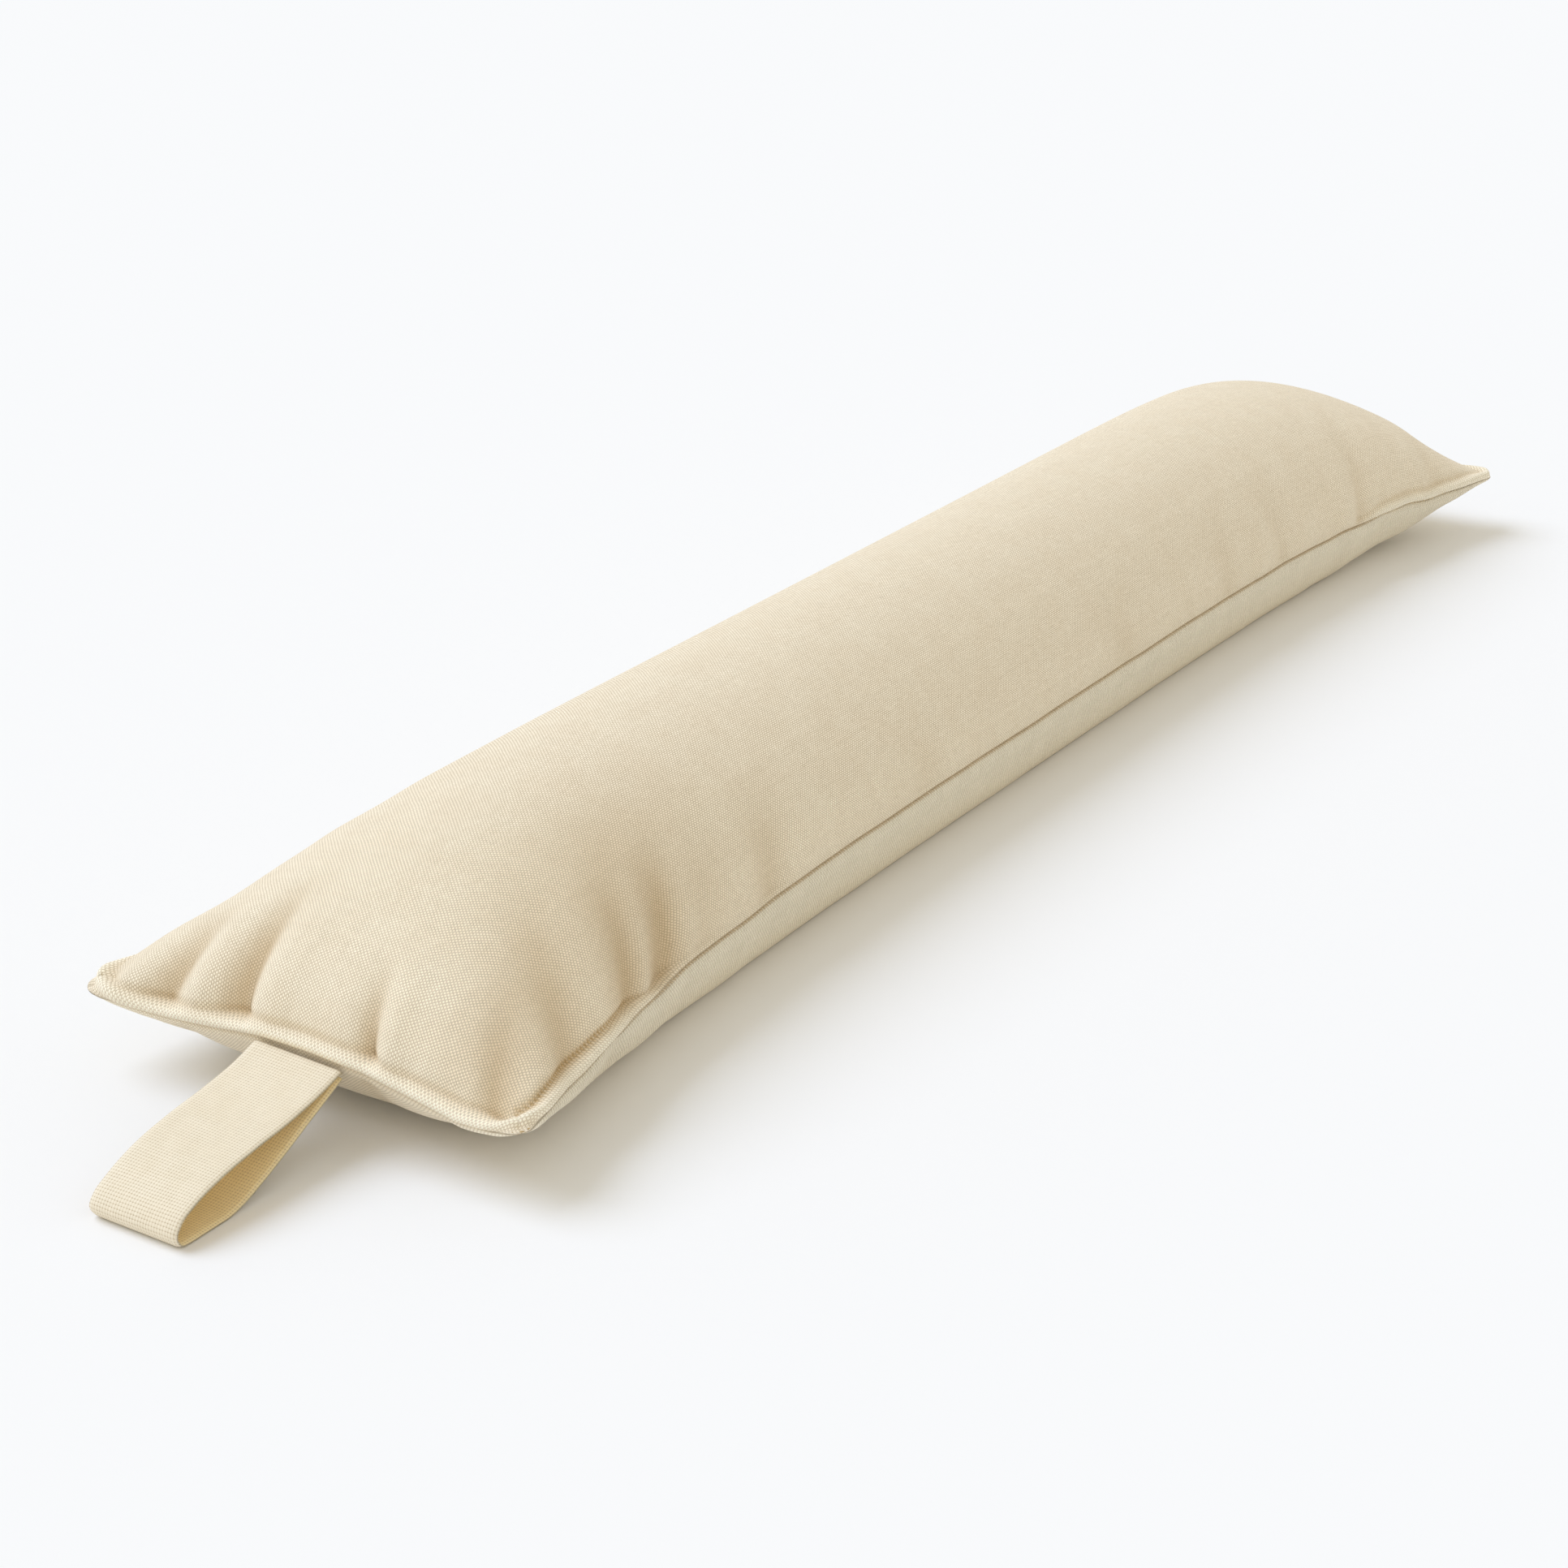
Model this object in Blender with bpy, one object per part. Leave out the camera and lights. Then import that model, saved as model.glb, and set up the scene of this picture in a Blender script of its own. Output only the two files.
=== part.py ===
# Draught excluder: a long filled cushion of two seamed panels, with a webbing loop at one end.
# Metres. X runs along the cushion with the loop at -X, Y across it, and Z is up.
# The origin is under the middle of the cushion, on the surface that it lies on.

import bpy
import bmesh
import numpy as np

MM = 0.001

# Sizes of the filled cushion, seam to seam
LENGTH = 865 * MM
CORNER_WIDTH = 201 * MM
CROWN_HEIGHT = 96.8 * MM
CORNER_RADIUS = 9 * MM

# How far the filling draws the edges in between the corners
SIDE_DRAW = 30.2 * MM
SIDE_DRAW_POWER = 4.0
END_DRAW = 5.0 * MM
END_DRAW_POWER = 2.5

# Height of the seam line over the surface
SEAM_HEIGHT_SIDE = 34.3 * MM
SEAM_HEIGHT_END = 28.6 * MM
SEAM_HEIGHT_CORNER = 28.2 * MM
SEAM_SIDE_POWER = 8
SEAM_END_POWER = 3
END_SHARE_POWER = 6

# Roundness of the upper panel, and of the lower one before the surface flattens it
TOP_END_POWER = 5.59
TOP_END_ROOT = 0.476
TOP_SIDE_POWER = 2.0
TOP_SIDE_ROOT = 0.578
BOTTOM_DEPTH = 54.7 * MM
BOTTOM_END_ROOT = 0.60
BOTTOM_SIDE_ROOT = 0.46

# At each corner the cover is too narrow to fill and lies flat, as an ear
EAR_SIZE_NEAR = 18 * MM
EAR_SIZE_FAR = 26 * MM
EAR_FLATNESS = 0.62

# The seam allowances lie inside the cover and lift a soft ridge beside the seam
RIDGE_HEIGHT = 2.7 * MM
RIDGE_AT = 3.0 * MM
RIDGE_HALF_WIDTH = 2.5 * MM
CREASE_DEPTH = 1.6 * MM
CREASE_AT = 8.4 * MM
CREASE_HALF_WIDTH = 2.6 * MM
RIDGE_UNDERSIDE_SHARE = 0.45
# The ridge is full at the ends and fades along the sides, where the seam sits in a groove
RIDGE_FADE_START = 385 * MM
RIDGE_FADE_END = 318 * MM
GROOVE_DEPTH = 2.0 * MM

# The end seam at the loop's end, in millimetres: place across the cushion, rise over its height
END_SEAM_WAVE = (
    (-100, 1.5), (-86, -1.5), (-69, -3.4), (-48, -1.0), (-26, 1.6), (-2, 2.6),
    (20, 2.6), (40, 0.2), (63, -1.8), (90, -3.6), (100, -2.0),
)
END_WAVE_POWER = 24

# Folds of the two panels, one to a row, in millimetres: the seam that each starts from, where
# along that seam, how far it drifts towards +X or +Y over its reach, how far it reaches up the
# cloth, its half width, and its depth. A ridge has a negative depth. A fold is narrower at its
# seam and wider at its other end, by the two shares below.
FOLD_WIDTH_AT_SEAM = 0.75
FOLD_WIDTH_AT_END = 1.35
FOLD_COLUMNS = ("panel", "seam", "at", "drift", "reach", "half_width", "depth")
FOLDS = (
    # The end with the loop, seen from above
    ("top", "near", 93, -14, 40, 5.5, 2.4),
    ("top", "near", 84, -13, 48, 6.0, -1.6),
    ("top", "near", 74, -22, 62, 8.5, 3.2),
    ("top", "near", 53, -12, 70, 10.0, -1.8),
    ("top", "near", 34, -8, 78, 8.0, 5.2),
    ("top", "near", 2, -3, 80, 15.0, -1.6),
    ("top", "near", -30, 3, 60, 6.0, 4.2),
    ("top", "near", -41, 4, 62, 7.5, -2.0),
    ("top", "near", -66, 16, 70, 11.0, 1.6),
    # The side towards the viewer
    ("top", "right", -384, 42, 80, 15.0, 3.4),
    ("top", "right", -350, 26, 70, 11.0, -1.4),
    ("top", "right", -329, 20, 64, 8.5, -2.6),
    ("top", "right", -311, 14, 58, 8.0, 3.2),
    ("top", "right", -283, 12, 56, 12.0, -1.0),
    ("top", "right", -240, 16, 58, 12.0, 1.9),
    ("top", "right", -214, 10, 44, 10.0, -1.0),
    ("top", "right", -120, 6, 40, 14.0, 0.8),
    ("top", "right", 62, -4, 46, 15.0, 0.9),
    ("top", "right", 168, 0, 52, 11.0, 1.2),
    ("top", "right", 201, 1, 62, 10.0, -1.5),
    ("top", "right", 226, 4, 60, 9.0, 1.7),
    ("top", "right", 247, 4, 56, 8.0, -1.2),
    ("top", "right", 290, 24, 74, 9.5, -2.4),
    ("top", "right", 308, 26, 74, 8.5, 4.4),
    ("top", "right", 340, 14, 60, 11.0, -1.4),
    ("top", "right", 366, 12, 52, 8.5, -2.2),
    ("top", "right", 386, 8, 46, 8.0, 2.4),
    # The side away from the viewer
    ("top", "left", -382, 20, 50, 12.0, 2.2),
    ("top", "left", -346, 16, 54, 9.0, -1.8),
    ("top", "left", -318, 10, 62, 9.0, 3.0),
    ("top", "left", -262, 10, 56, 12.0, 1.8),
    ("top", "left", -170, 6, 44, 12.0, 1.2),
    ("top", "left", -40, -4, 46, 14.0, 1.0),
    ("top", "left", 94, 2, 46, 12.0, 1.3),
    ("top", "left", 212, -8, 56, 10.0, 2.0),
    ("top", "left", 262, -10, 52, 9.0, -1.4),
    ("top", "left", 318, -22, 68, 9.0, 3.6),
    ("top", "left", 350, -20, 62, 9.0, -2.0),
    ("top", "left", 384, -26, 56, 10.0, 2.6),
    # The far end
    ("top", "far", 88, -12, 44, 6.5, 2.6),
    ("top", "far", 66, -16, 58, 8.0, -1.8),
    ("top", "far", 40, -8, 66, 8.5, 4.0),
    ("top", "far", 8, -2, 70, 12.0, -1.6),
    ("top", "far", -24, 4, 62, 7.5, 3.6),
    ("top", "far", -52, 10, 56, 9.0, -1.8),
    ("top", "far", -74, 14, 50, 7.0, 2.6),
    # The lower panel, between the seam and the surface
    ("bottom", "near", 62, -8, 38, 9.0, 2.0),
    ("bottom", "near", 22, -2, 34, 8.0, -1.6),
    ("bottom", "near", -26, 4, 36, 7.0, 2.2),
    ("bottom", "near", -66, 8, 40, 9.0, 1.8),
    ("bottom", "far", 56, -6, 38, 9.0, 2.2),
    ("bottom", "far", -4, 0, 34, 9.0, 1.8),
    ("bottom", "far", -58, 6, 38, 9.0, 2.2),
    ("bottom", "right", -362, 12, 34, 10.0, 1.6),
    ("bottom", "right", 330, 8, 34, 9.0, 1.8),
    ("bottom", "left", -340, 10, 34, 10.0, 1.8),
    ("bottom", "left", 300, -8, 34, 10.0, 1.8),
)

# Mesh rows: close together by the seams and wider over the middle of a panel, in millimetres
ROWS_BY_END = (0, 2.6, 5.4, 8.6, 13, 19, 27, 36, 46, 57)
ROWS_BY_SIDE = (0, 2.6, 5.4, 8.6, 13, 19, 27, 37)
ROW_STEP_ALONG = 9.5
ROW_STEP_ACROSS = 13.0
PANEL_LENGTH = 925
PANEL_WIDTH = 205
SPREAD_PASSES = 6
PROFILE_SAMPLES = 160

# Webbing loop: a folded strip, both ends sewn under the ridge of the end seam
WEBBING_WIDTH = 40 * MM
WEBBING_THICKNESS = 1.6 * MM
WEBBING_MIDDLE_Y = 1.5 * MM
WEBBING_STEPS = 56
WEBBING_SHARP_ANGLE = 50
# Middle of the webbing's thickness, in millimetres: distance past the end seam, height of the left
# edge, height of the right edge
LOOP_PATH = (
    (2.2, 30.0, 28.9), (13, 26.5, 25.7), (30, 23.4, 22.2), (48, 21.1, 20.0), (66, 17.3, 16.9),
    (78, 12.6, 13.2), (84.8, 8.6, 9.4), (87.2, 4.9, 5.3), (85.6, 1.7, 1.8), (81, 0.8, 0.8),
    (72, 0.8, 0.8), (63, 0.9, 0.8), (55, 2.8, 2.5), (45, 6.7, 6.3), (33, 12.3, 11.6),
    (21, 18.2, 17.4), (10, 23.6, 22.6), (2.2, 27.4, 26.4),
)
END_SEAM_X = -(LENGTH / 2 - END_DRAW)

CANVAS_COLOR = (0.74, 0.65, 0.48)
WEBBING_COLOR = (0.78, 0.70, 0.54)
CLOTH_ROUGHNESS = 0.92


def row_shares(total, edge_rows, step):
    """Places of the mesh rows over a panel, as shares of its size from one seam to the other."""
    edge = np.array(edge_rows, dtype=float)
    span = total - 2 * edge[-1]
    count = int(round(span / step))
    middle = edge[-1] + span * np.arange(1, count) / count
    return np.concatenate([edge, middle, (total - edge)[::-1]]) / total


def rounded_corner(x, y):
    """Turn the square corners of the panel's outline into arcs of the corner radius."""
    over_x = np.maximum(np.abs(x) - (LENGTH / 2 - CORNER_RADIUS), 0)
    over_y = np.maximum(np.abs(y) - (CORNER_WIDTH / 2 - CORNER_RADIUS), 0)
    reach = np.maximum(over_x, over_y)
    away = np.hypot(over_x, over_y)
    scale = np.where(away > 0, reach / np.where(away > 0, away, 1), 1)
    return (
        np.sign(x) * (np.abs(x) - over_x + over_x * scale),
        np.sign(y) * (np.abs(y) - over_y + over_y * scale),
    )


def base_surface(u, v, panel):
    """The plain filled form of a panel at u along and v across, each from -1 to 1 at the seams."""
    x, y = rounded_corner(u * LENGTH / 2, v * CORNER_WIDTH / 2)
    along = np.abs(x) / (LENGTH / 2)
    across = np.abs(y) / (CORNER_WIDTH / 2)
    y = y * (1 - 2 * SIDE_DRAW / CORNER_WIDTH * (1 - along ** SIDE_DRAW_POWER))
    x = x * (1 - 2 * END_DRAW / LENGTH * (1 - across ** END_DRAW_POWER))

    side_drop = (SEAM_HEIGHT_CORNER - SEAM_HEIGHT_SIDE) * np.abs(u) ** SEAM_SIDE_POWER
    end_drop = (SEAM_HEIGHT_CORNER - SEAM_HEIGHT_END) * np.abs(v) ** SEAM_END_POWER
    end_share = np.abs(u) ** END_SHARE_POWER
    seam = (SEAM_HEIGHT_SIDE + side_drop) * (1 - end_share) + (SEAM_HEIGHT_END + end_drop) * end_share
    wave = np.array(END_SEAM_WAVE).T * MM
    seam = seam + np.interp(y, wave[0], wave[1]) * np.maximum(-u, 0) ** END_WAVE_POWER

    from_corner = np.hypot((1 - np.abs(u)) * LENGTH / 2, (1 - np.abs(v)) * CORNER_WIDTH / 2)
    ear_size = np.where(u < 0, EAR_SIZE_NEAR, EAR_SIZE_FAR)
    ear = 1 - EAR_FLATNESS * np.exp(-((from_corner / ear_size) ** 2))
    end_fullness = np.clip(1 - np.abs(u) ** TOP_END_POWER, 0, 1)
    side_fullness = np.clip(1 - np.abs(v) ** TOP_SIDE_POWER, 0, 1)
    if panel == "top":
        full = end_fullness ** TOP_END_ROOT * side_fullness ** TOP_SIDE_ROOT * ear
        z = seam + (CROWN_HEIGHT - seam) * full
    else:
        full = end_fullness ** BOTTOM_END_ROOT * side_fullness ** BOTTOM_SIDE_ROOT * ear
        z = seam - BOTTOM_DEPTH * full
    return np.stack([x, y, z], axis=-1)


def spread_along(u, v, shares, panel):
    """Move the points of each line of the grid until they lie at the given shares of its length."""
    new_u, new_v = u.copy(), v.copy()
    for line in range(u.shape[1]):
        fine = np.linspace(0, len(u) - 1, PROFILE_SAMPLES + 1)
        fine_u = np.interp(fine, np.arange(len(u)), u[:, line])
        fine_v = np.interp(fine, np.arange(len(u)), v[:, line])
        points = base_surface(fine_u, fine_v, panel)
        run = np.concatenate([[0], np.cumsum(np.linalg.norm(np.diff(points, axis=0), axis=1))])
        new_u[:, line] = np.interp(shares * run[-1], run, fine_u)
        new_v[:, line] = np.interp(shares * run[-1], run, fine_v)
    return new_u, new_v


def spread_across(u, v, shares, panel):
    """The same as spread_along for the lines that run from side to side."""
    turned_u, turned_v = spread_along(u.T, v.T, shares, panel)
    return turned_u.T, turned_v.T


def panel_grid(panel):
    """Places u, v of a panel's mesh points, spread evenly over its cloth."""
    along = row_shares(PANEL_LENGTH, ROWS_BY_END, ROW_STEP_ALONG)
    across = row_shares(PANEL_WIDTH, ROWS_BY_SIDE, ROW_STEP_ACROSS)
    u, v = np.meshgrid(along * 2 - 1, across * 2 - 1, indexing="ij")
    for _ in range(SPREAD_PASSES):
        u, v = spread_along(u, v, along, panel)
        u, v = spread_across(u, v, across, panel)
    return u, v


def seam_distances(points):
    """Distance over the cloth from each point to the near, far, right and left seams."""
    along = np.linalg.norm(np.diff(points, axis=0), axis=2)
    across = np.linalg.norm(np.diff(points, axis=1), axis=2)
    near = np.concatenate([np.zeros((1, points.shape[1])), np.cumsum(along, axis=0)])
    right = np.concatenate([np.zeros((points.shape[0], 1)), np.cumsum(across, axis=1)], axis=1)
    return {"near": near, "far": near[-1:] - near, "right": right, "left": right[:, -1:] - right}


def surface_normals(points, panel):
    """Outward unit normals of a grid of points."""
    normals = np.cross(np.gradient(points, axis=0), np.gradient(points, axis=1))
    normals /= np.maximum(np.linalg.norm(normals, axis=2, keepdims=True), 1e-12)
    return normals if panel == "top" else -normals


def fold_relief(points, distances, panel):
    """Height of the folds of a panel over its plain form."""
    relief = np.zeros(points.shape[:2])
    for row in FOLDS:
        fold = dict(zip(FOLD_COLUMNS, row))
        if fold["panel"] != panel:
            continue
        up = np.clip(distances[fold["seam"]] / (fold["reach"] * MM), 0, 1)
        place = points[..., 1] if fold["seam"] in ("near", "far") else points[..., 0]
        centre = (fold["at"] + fold["drift"] * up) * MM
        widening = FOLD_WIDTH_AT_SEAM + (FOLD_WIDTH_AT_END - FOLD_WIDTH_AT_SEAM) * up
        half_width = fold["half_width"] * MM * widening
        fade = (1 - up ** 2) ** 2
        relief -= fold["depth"] * MM * fade * np.exp(-((place - centre) / half_width) ** 2)
    return relief


def ridge_share(x):
    """How much of the seam's ridge stands at x: all of it at the ends, none along the sides."""
    share = (np.abs(x) - RIDGE_FADE_END) / (RIDGE_FADE_START - RIDGE_FADE_END)
    share = np.clip(share, 0, 1)
    return share * share * (3 - 2 * share)


def seam_relief(points, distances, panel):
    """Height of the ridge and the crease beside the seam."""
    to_seam = np.minimum.reduce(list(distances.values()))
    ridge = RIDGE_HEIGHT * np.exp(-((to_seam - RIDGE_AT) / RIDGE_HALF_WIDTH) ** 2)
    crease = CREASE_DEPTH * np.exp(-((to_seam - CREASE_AT) / CREASE_HALF_WIDTH) ** 2)
    share = ridge_share(points[..., 0])
    if panel == "bottom":
        return RIDGE_UNDERSIDE_SHARE * ridge * share
    return (ridge - crease) * share


def panel_points(panel):
    """Points of a panel with its folds and its ridge, the seam line on the outside of the grid."""
    u, v = panel_grid(panel)
    points = base_surface(u, v, panel)
    distances = seam_distances(points)
    relief = fold_relief(points, distances, panel) + seam_relief(points, distances, panel)
    return points + surface_normals(points, panel) * relief[..., None]


def seam_line(u, v):
    """Points of the seam, drawn into its groove along the sides."""
    points = base_surface(u, v, "top")
    groove = GROOVE_DEPTH * (1 - ridge_share(points[..., 0]))
    points[..., 1] -= np.sign(points[..., 1]) * groove
    return points


def set_seam(points, panel):
    """Put the outermost row of a panel's grid on the seam line, so that both panels meet there."""
    along = row_shares(PANEL_LENGTH, ROWS_BY_END, ROW_STEP_ALONG) * 2 - 1
    across = row_shares(PANEL_WIDTH, ROWS_BY_SIDE, ROW_STEP_ACROSS) * 2 - 1
    ones_along, ones_across = np.ones(len(along)), np.ones(len(across))
    points[:, 0] = seam_line(along, -ones_along)
    points[:, -1] = seam_line(along, ones_along)
    points[0, :] = seam_line(-ones_across, across)
    points[-1, :] = seam_line(ones_across, across)
    if panel == "bottom":
        points[..., 2] = np.maximum(points[..., 2], 0)
    return points


def fabric_material(name, color, roughness):
    """A plain cloth finish."""
    material = bpy.data.materials.new(name)
    material.use_nodes = True
    shader = material.node_tree.nodes["Principled BSDF"]
    shader.inputs["Base Color"].default_value = (*color, 1)
    shader.inputs["Roughness"].default_value = roughness
    shader.inputs["Metallic"].default_value = 0
    return material


def mesh_object(name, form, material):
    """Add a bmesh to the scene as a named object."""
    mesh = bpy.data.meshes.new(name)
    form.to_mesh(mesh)
    form.free()
    mesh.shade_smooth()
    mesh.materials.append(material)
    made = bpy.data.objects.new(name, mesh)
    bpy.context.scene.collection.objects.link(made)
    return made


def make_cushion():
    """The filled cushion: the upper and lower panels joined along the seam line."""
    top = set_seam(panel_points("top"), "top")
    bottom = set_seam(panel_points("bottom"), "bottom")
    rows, columns = top.shape[:2]
    form = bmesh.new()
    upper = [[form.verts.new(top[i, j]) for j in range(columns)] for i in range(rows)]
    lower = [list(line) for line in upper]
    for i in range(1, rows - 1):
        for j in range(1, columns - 1):
            lower[i][j] = form.verts.new(bottom[i, j])
    for i in range(rows - 1):
        for j in range(columns - 1):
            form.faces.new((upper[i][j], upper[i + 1][j], upper[i + 1][j + 1], upper[i][j + 1]))
            form.faces.new((lower[i][j], lower[i][j + 1], lower[i + 1][j + 1], lower[i + 1][j]))
    # The faces that lie on the surface become one flat face
    resting = [face for face in form.faces if all(vert.co.z == 0 for vert in face.verts)]
    bmesh.ops.dissolve_faces(form, faces=resting)
    bmesh.ops.triangulate(form, faces=form.faces[:])
    mesh_object("cushion", form, fabric_material("canvas", CANVAS_COLOR, CLOTH_ROUGHNESS))


def loop_line():
    """The middle of the webbing's thickness along its left and right edges, as smooth curves."""
    path = np.array(LOOP_PATH) * MM
    steps = np.concatenate([[0], np.cumsum(np.hypot(*np.diff(path[:, :2], axis=0).T))])
    places = np.linspace(0, steps[-1], WEBBING_STEPS + 1)
    slopes = np.gradient(path, steps, axis=0)
    line = np.zeros((len(places), 3))
    for index, place in enumerate(places):
        start = min(np.searchsorted(steps, place, side="right") - 1, len(steps) - 2)
        span = steps[start + 1] - steps[start]
        t = (place - steps[start]) / span
        line[index] = (
            (2 * t ** 3 - 3 * t ** 2 + 1) * path[start]
            + (t ** 3 - 2 * t ** 2 + t) * span * slopes[start]
            + (3 * t ** 2 - 2 * t ** 3) * path[start + 1]
            + (t ** 3 - t ** 2) * span * slopes[start + 1]
        )
    half = WEBBING_THICKNESS / 2
    line[:, 1:] = np.maximum(line[:, 1:], half)
    x = END_SEAM_X - line[:, 0]
    return [np.stack([x, height], axis=1) for height in (line[:, 1], line[:, 2])]


def make_webbing_loop():
    """The strip of webbing, folded back on itself and open at both ends."""
    half = WEBBING_THICKNESS / 2
    form = bmesh.new()
    corners = []
    for side, edge in zip((1, -1), loop_line()):
        y = WEBBING_MIDDLE_Y + side * WEBBING_WIDTH / 2
        tangent = np.gradient(edge, axis=0)
        tangent /= np.linalg.norm(tangent, axis=1, keepdims=True)
        outward = np.stack([tangent[:, 1], -tangent[:, 0]], axis=1)
        for face_side in (1, -1):
            offset = edge + outward * half * face_side
            offset[:, 1] = np.maximum(offset[:, 1], 0)
            corners.append([form.verts.new((x, y, z)) for x, z in offset])
    outer_left, inner_left, outer_right, inner_right = corners
    rings = list(zip(outer_left, inner_left, inner_right, outer_right))
    form.faces.new(rings[0])
    form.faces.new(rings[-1][::-1])
    for this, following in zip(rings, rings[1:]):
        for k in range(4):
            form.faces.new((this[k], following[k], following[(k + 1) % 4], this[(k + 1) % 4]))
    bmesh.ops.triangulate(form, faces=form.faces[:])
    bmesh.ops.recalc_face_normals(form, faces=form.faces[:])
    material = fabric_material("webbing", WEBBING_COLOR, CLOTH_ROUGHNESS)
    webbing = mesh_object("webbing_loop", form, material)
    webbing.data.set_sharp_from_angle(angle=np.radians(WEBBING_SHARP_ANGLE))


def clear_scene():
    """Remove whatever the file holds before the model is made."""
    for found in list(bpy.data.objects):
        bpy.data.objects.remove(found, do_unlink=True)


clear_scene()
make_cushion()
make_webbing_loop()
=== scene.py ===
# Draught excluder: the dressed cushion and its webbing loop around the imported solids.
# Metres. X runs along the cushion with the loop at -X, the side towards the camera is -Y, Z is up.

import math

import bpy
import numpy as np
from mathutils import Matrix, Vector


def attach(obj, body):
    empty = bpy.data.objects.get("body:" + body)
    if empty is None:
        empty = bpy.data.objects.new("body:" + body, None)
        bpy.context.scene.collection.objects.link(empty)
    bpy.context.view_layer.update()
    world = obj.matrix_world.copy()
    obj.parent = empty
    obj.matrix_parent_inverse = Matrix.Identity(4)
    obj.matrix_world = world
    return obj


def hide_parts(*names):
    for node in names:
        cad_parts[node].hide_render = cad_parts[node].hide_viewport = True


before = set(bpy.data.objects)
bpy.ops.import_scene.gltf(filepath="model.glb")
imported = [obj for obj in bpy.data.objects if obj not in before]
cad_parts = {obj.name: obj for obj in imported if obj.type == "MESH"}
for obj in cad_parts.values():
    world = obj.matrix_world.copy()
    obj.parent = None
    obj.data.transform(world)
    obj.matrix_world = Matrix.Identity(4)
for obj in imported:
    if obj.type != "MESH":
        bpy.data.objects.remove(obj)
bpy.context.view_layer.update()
mm = 0.001
tiny = 1e-9    # stands in for a length of zero in a division


def newObject(name, data):
    made = bpy.data.objects.new(name, data)
    bpy.context.scene.collection.objects.link(made)
    return made


# The photograph's view: where the camera stood, where it looked and its lens
cameraSettings = {
    "place": (-1.155035, -0.676325, 0.555457),
    "target": (-0.1549, -0.0229, 0.0402),
    "lens": 72.28,
    "sensor": 36.0,
    "clipStart": 0.05,
}


def makeCamera(settings):
    data = bpy.data.cameras.new("camera")
    data.lens = settings["lens"]
    data.sensor_width = settings["sensor"]
    data.clip_start = settings["clipStart"]
    camera = newObject("camera", data)
    place = Vector(settings["place"])
    camera.location = place
    camera.rotation_euler = (Vector(settings["target"]) - place).to_track_quat("-Z", "Y").to_euler()
    bpy.context.scene.camera = camera


# Sizes of the filled cushion in millimetres, the same as in the solids
cushion = {
    "length": 865,
    "cornerWidth": 201,
    "crownHeight": 96.8,
    "cornerRadius": 9,
    "sideDraw": 30.2, "sideDrawPower": 4.0,
    "endDraw": 5.0, "endDrawPower": 2.5,
    "seamHeightSide": 34.3, "seamHeightEnd": 28.6, "seamHeightCorner": 28.2,
    "seamSidePower": 8, "seamEndPower": 3, "endSharePower": 6,
    "topEndPower": 5.59, "topEndRoot": 0.476,
    "topSidePower": 2.0, "topSideRoot": 0.578,
    "bottomDepth": 54.7, "bottomEndRoot": 0.60, "bottomSideRoot": 0.46,
    "earSizeNear": 18, "earSizeFar": 26, "earFlatness": 0.62,
    "endWavePower": 24,
    "panelLength": 925, "panelWidth": 205,    # the cut cloth of one panel, seam to seam
    "lowerClothShift": 0.4,                   # of the lower panel's cloth coordinates, in metres
    "step": 2.7,                              # mesh step over the middle of a panel
    "edgeRows": (0, 0.5, 1.1, 1.8, 2.6, 3.4, 4.2, 5.0, 5.8, 6.6, 7.5, 8.5, 9.6, 11, 12.8, 15),
    "spreadPasses": 6, "spreadSamples": 240,
}

# The roll of cloth that the seam allowance lifts beside the seam, in millimetres
seamForm = {
    "ridgeHeight": 2.6, "ridgeAt": 2.7, "ridgeHalfWidth": 2.4, "ridgeSquareness": 2.4,
    "narrowest": 0.25,                        # share of the ridge's width left where it fades out
    "fadeNear": (306, 370), "fadeFar": (298, 336),    # the ridge begins and is full at these
    "turnRadius": (20, 11),                   # of the ridge, round the near and the far corners
    "grooveSides": 1.2, "grooveEnds": 0.15,
    # the crease is deepest along the side towards the camera, at the end with the loop, and so is the painted
    # shade in it
    "creaseDepth": 1.5, "creaseAt": 6.8, "creaseHalfWidth": 1.7,
    "creaseLeast": 0.3, "creaseAlong": (150, 300), "creaseAcross": (30, 70),
    "creaseAtEnds": 0.6, "creaseTintAtEnds": 0.25,
    # the painted shade at the seam itself, a brownish line in its groove: its tint along the sides, where the
    # ridge is full, and at the ends
    "edgeHalfWidth": 0.8, "edgeTintSides": 0.85, "edgeTintLost": 0.7,
    "edgeTintNear": 0.3, "edgeTintRight": 0.4, "edgeRightFrom": (45, 75), "edgeTintFar": 0.1,
    # the lower panel, with painted light on it near the sides
    "undersideShare": 0.22, "undersidePaintedLight": 0.95, "undersideLightReach": 40,
    "rollHeight": 1.4, "rollAt": 5.0, "rollHalfWidth": 4.4, "rollFade": (4, 40),
}

# How far from a seam the threads square to it stand out, in millimetres
ribReach = {"underside": 40, "undersideFade": (4, 20), "sides": 9, "ends": 18, "share": 0.5}

# Height of the near end's seam: place across, rise
endSeamWave = (
    (-100, 1.5), (-86, -1.5), (-69, -3.4), (-48, -1.0), (-26, 1.6), (-2, 2.6),
    (20, 2.6), (40, 0.2), (63, -1.8), (90, -3.6), (100, -2.0),
)

foldForm = {
    "widthAtSeam": 0.75, "widthAtEnd": 1.35,
    "startEnds": 8.0, "startSides": 4.0,      # a fold has its full depth this far from its seam
    "troughBlunt": 0.03, "troughPower": 0.72,
    "paintedShadeDepth": 4.2,                       # a trough this deep has the full painted shade
    # the painted shade in the troughs fades towards the far end
    "farTintLost": 0.65, "farTintFrom": (100, 260),
}

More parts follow.
